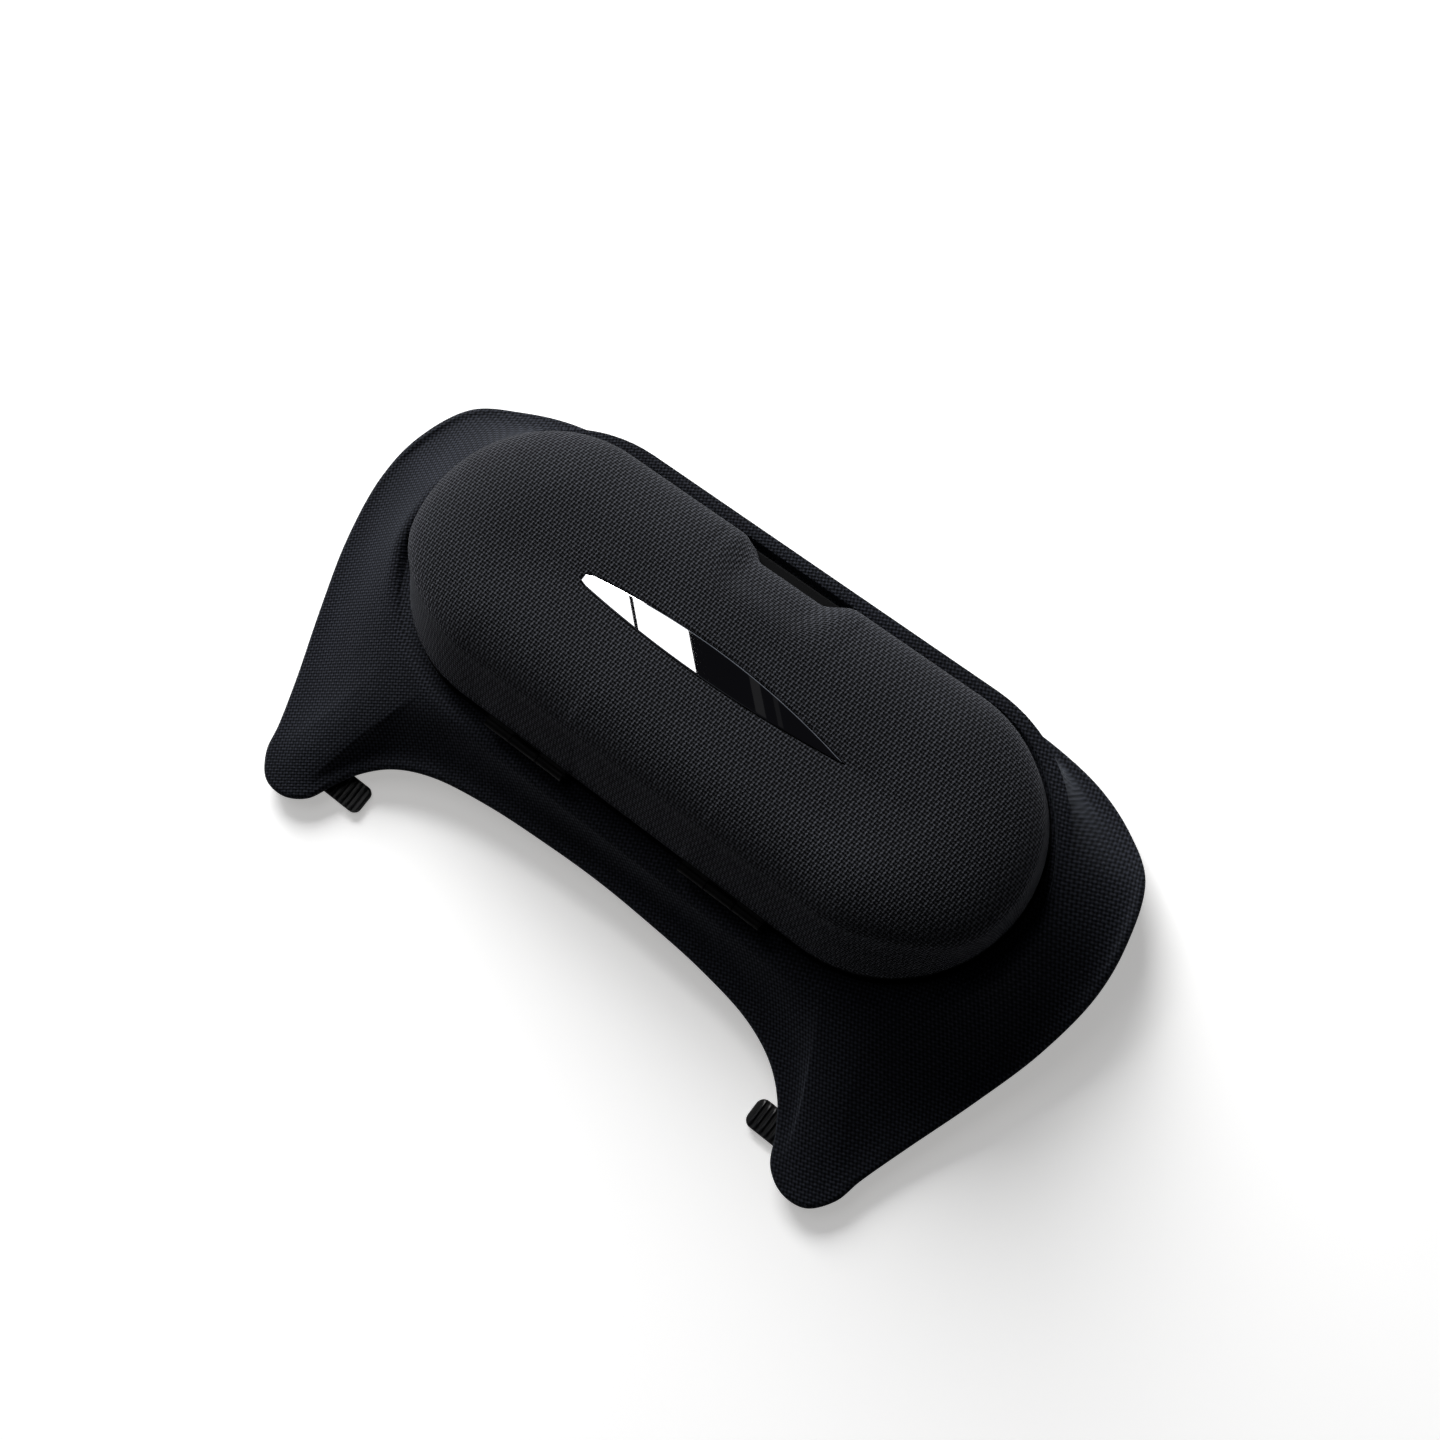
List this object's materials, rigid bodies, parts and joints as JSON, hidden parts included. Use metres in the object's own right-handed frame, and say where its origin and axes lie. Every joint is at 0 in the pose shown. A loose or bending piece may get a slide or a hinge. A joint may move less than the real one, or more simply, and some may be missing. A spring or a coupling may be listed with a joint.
{
  "type": "chair headrest attachment",
  "caption": "Padded oval storage case with a hinged lid and finger notch on a knit-covered U-shaped saddle plate that clips and sticks onto a headrest.",
  "frame": {"origin": "middle of the footprint, on the plane of the adhesive pads' lower faces", "axes": "+X along the case's length, +Y away from the legs towards the finger notch, +Z out of the headrest, through the lid's top"},
  "size_m": [0.2232, 0.1249, 0.0437],
  "materials": {
    "plate_knit": "navy-black spacer knit, matt",
    "lid_knit": "charcoal honeycomb knit, matt",
    "felt": "short-pile felt lining",
    "foam": "soft foam padding",
    "black_abs": "fine matt texture",
    "mirror_steel": "polished mirror",
    "zinc_steel": "zinc plated",
    "black_steel": "black oxide",
    "rubber": "matt rubber",
    "adhesive": "tacky foam tape"
  },
  "bodies": {
    "base": {"adhesive_pad_left": "adhesive", "adhesive_pad_right": "adhesive", "base_leaf_screw_left_inner": "zinc_steel", "base_leaf_screw_left_outer": "zinc_steel", "base_leaf_screw_right_inner": "zinc_steel", "base_leaf_screw_right_outer": "zinc_steel", "bumper_left": "rubber", "bumper_right": "rubber", "carrier_plate": "black_abs", "clip_tongue_left": "black_abs", "clip_tongue_right": "black_abs", "hinge_base_leaf_left": "black_steel", "hinge_base_leaf_right": "black_steel", "hinge_pin_left": "black_steel", "hinge_pin_right": "black_steel", "plate_fabric_cover": "plate_knit", "striker_plate_left": "zinc_steel", "striker_plate_right": "zinc_steel", "tongue_screw_left_inner": "zinc_steel", "tongue_screw_left_outer": "zinc_steel", "tongue_screw_right_inner": "zinc_steel", "tongue_screw_right_outer": "zinc_steel", "tray": "black_abs", "tray_liner": "felt", "tray_screw_left_far": "zinc_steel", "tray_screw_left_near": "zinc_steel", "tray_screw_right_far": "zinc_steel", "tray_screw_right_near": "zinc_steel"},
    "lid": {"blade_trim": "mirror_steel", "hinge_lid_leaf_left": "black_steel", "hinge_lid_leaf_right": "black_steel", "lid_fabric_cover": "lid_knit", "lid_foam": "foam", "lid_frame": "black_abs", "lid_leaf_screw_left_inner": "zinc_steel", "lid_leaf_screw_left_outer": "zinc_steel", "lid_leaf_screw_right_inner": "zinc_steel", "lid_leaf_screw_right_outer": "zinc_steel", "lid_liner": "felt", "lid_magnet_left": "zinc_steel", "lid_magnet_right": "zinc_steel", "lid_shell": "black_abs", "trim_adhesive": "adhesive"}
  },
  "joints": [
    {"name": "lid_hinge", "type": "hinge", "parent": "base", "child": "lid", "pos_m": [0, -0.0171, 0.0235], "axis": [1, 0, 0], "range_deg": [0, 110]}
  ]
}
